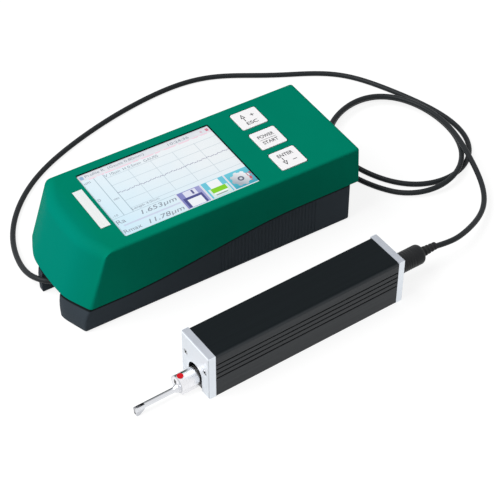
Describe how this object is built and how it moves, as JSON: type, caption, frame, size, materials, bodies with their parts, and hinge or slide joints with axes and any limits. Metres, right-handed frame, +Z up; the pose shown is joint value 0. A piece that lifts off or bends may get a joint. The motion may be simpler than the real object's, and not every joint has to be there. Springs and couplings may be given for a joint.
{
  "type": "surface roughness tester",
  "caption": "Handheld surface roughness tester: a display unit with screen and keys, cabled to a separate traverse drive whose stylus pickup measures the surface.",
  "frame": {"origin": "on the table, at the middle of the box round the display unit and the drive unit without the cable", "axes": "+X along the display unit from its nose to its rear, +Y from the drive unit to the display unit's far side, +Z up"},
  "size_m": [0.2583, 0.2118, 0.0469],
  "materials": {
    "green_shell": "fine satin green moulding",
    "black_shell": "satin black moulding",
    "screen_glass": "lit screen under clear film",
    "display_panel": "panel back",
    "white_keys": "white moulded keys with dark legends",
    "switch_black": "black moulding",
    "circuit_board": "green solder mask",
    "battery_wrap": "dark wrap",
    "badge_metal": "brushed bare plate",
    "socket_metal": "plated shell",
    "foot_rubber": "black rubber",
    "screw_steel": "zinc plated",
    "screw_dark": "blackened",
    "black_anodised": "black anodised extrusion",
    "plate_silver": "bead blasted silver",
    "bush_bronze": "sintered bronze",
    "inner_aluminium": "machined",
    "rod_steel": "ground steel",
    "gear_brass": "machined",
    "motor_steel": "plated can",
    "pickup_silver": "satin plated barrel",
    "red_mark": "red enamel",
    "tube_steel": "drawn steel",
    "coil_copper": "enamelled wire",
    "stylus_steel": "fine steel with a diamond tip",
    "plug_black": "moulded plug",
    "boot_black": "ribbed strain relief",
    "cable_black": "smooth jacket"
  },
  "bodies": {
    "tester": {"upper_housing": "green_shell", "lower_housing": "black_shell", "touch_panel": "screen_glass", "lcd_module": "display_panel", "key_switches": "switch_black", "main_board": "circuit_board", "battery_pack": "battery_wrap", "badge_plate": "badge_metal", "display_socket": "socket_metal", "feet": "foot_rubber", "case_screws": "screw_steel", "drive_body": "black_anodised", "front_plate": "plate_silver", "rear_plate": "plate_silver", "plate_screws": "screw_dark", "front_bearing": "bush_bronze", "bulkhead": "inner_aluminium", "guide_rods": "rod_steel", "gearbox": "gear_brass", "motor": "motor_steel", "limit_switches": "switch_black", "drive_board": "circuit_board", "rear_socket": "socket_metal", "display_plug": "plug_black", "drive_plug": "plug_black", "drive_boot": "boot_black", "connecting_cable": "cable_black"},
    "up_key": {"up_key": "white_keys"},
    "start_key": {"start_key": "white_keys"},
    "enter_key": {"enter_key": "white_keys"},
    "lead_screw": {"lead_screw": "rod_steel"},
    "carriage": {"carriage": "inner_aluminium", "pickup_socket": "switch_black", "pickup_body": "pickup_silver", "index_dot": "red_mark", "probe_tube": "tube_steel", "skid": "tube_steel", "pivot_block": "rod_steel", "sensor_coil": "coil_copper"},
    "stylus": {"stylus": "stylus_steel"}
  },
  "joints": [
    {"name": "up_key_press", "type": "slide", "parent": "tester", "child": "up_key", "axis": [0, 0, -1], "range_m": [0, 0.0005], "stiffness_N_per_m": 1500, "springref_m": -0.0005},
    {"name": "start_key_press", "type": "slide", "parent": "tester", "child": "start_key", "axis": [0, 0, -1], "range_m": [0, 0.0005], "stiffness_N_per_m": 1500, "springref_m": -0.0005},
    {"name": "enter_key_press", "type": "slide", "parent": "tester", "child": "enter_key", "axis": [0, 0, -1], "range_m": [0, 0.0005], "stiffness_N_per_m": 1500, "springref_m": -0.0005},
    {"name": "traverse", "type": "slide", "parent": "tester", "child": "carriage", "axis": [0.9989, 0.0471, 0], "range_m": [0, 0.0175]},
    {"name": "lead_screw_turn", "type": "hinge", "parent": "tester", "child": "lead_screw", "pos_m": [-0.01208, -0.05202, 0.018], "axis": [0.9989, 0.0471, 0], "continuous": true},
    {"name": "stylus_swing", "type": "hinge", "parent": "carriage", "child": "stylus", "pos_m": [-0.05473, -0.05403, 0.004], "axis": [-0.0471, 0.9989, 0], "range_deg": [0, 0.8], "stiffness_Nm_per_rad": 0.002, "springref_deg": -2.86}
  ],
  "couplings": [
    {"joint": "lead_screw_turn", "follows": "traverse", "rad_per_m": 1256.6}
  ]
}
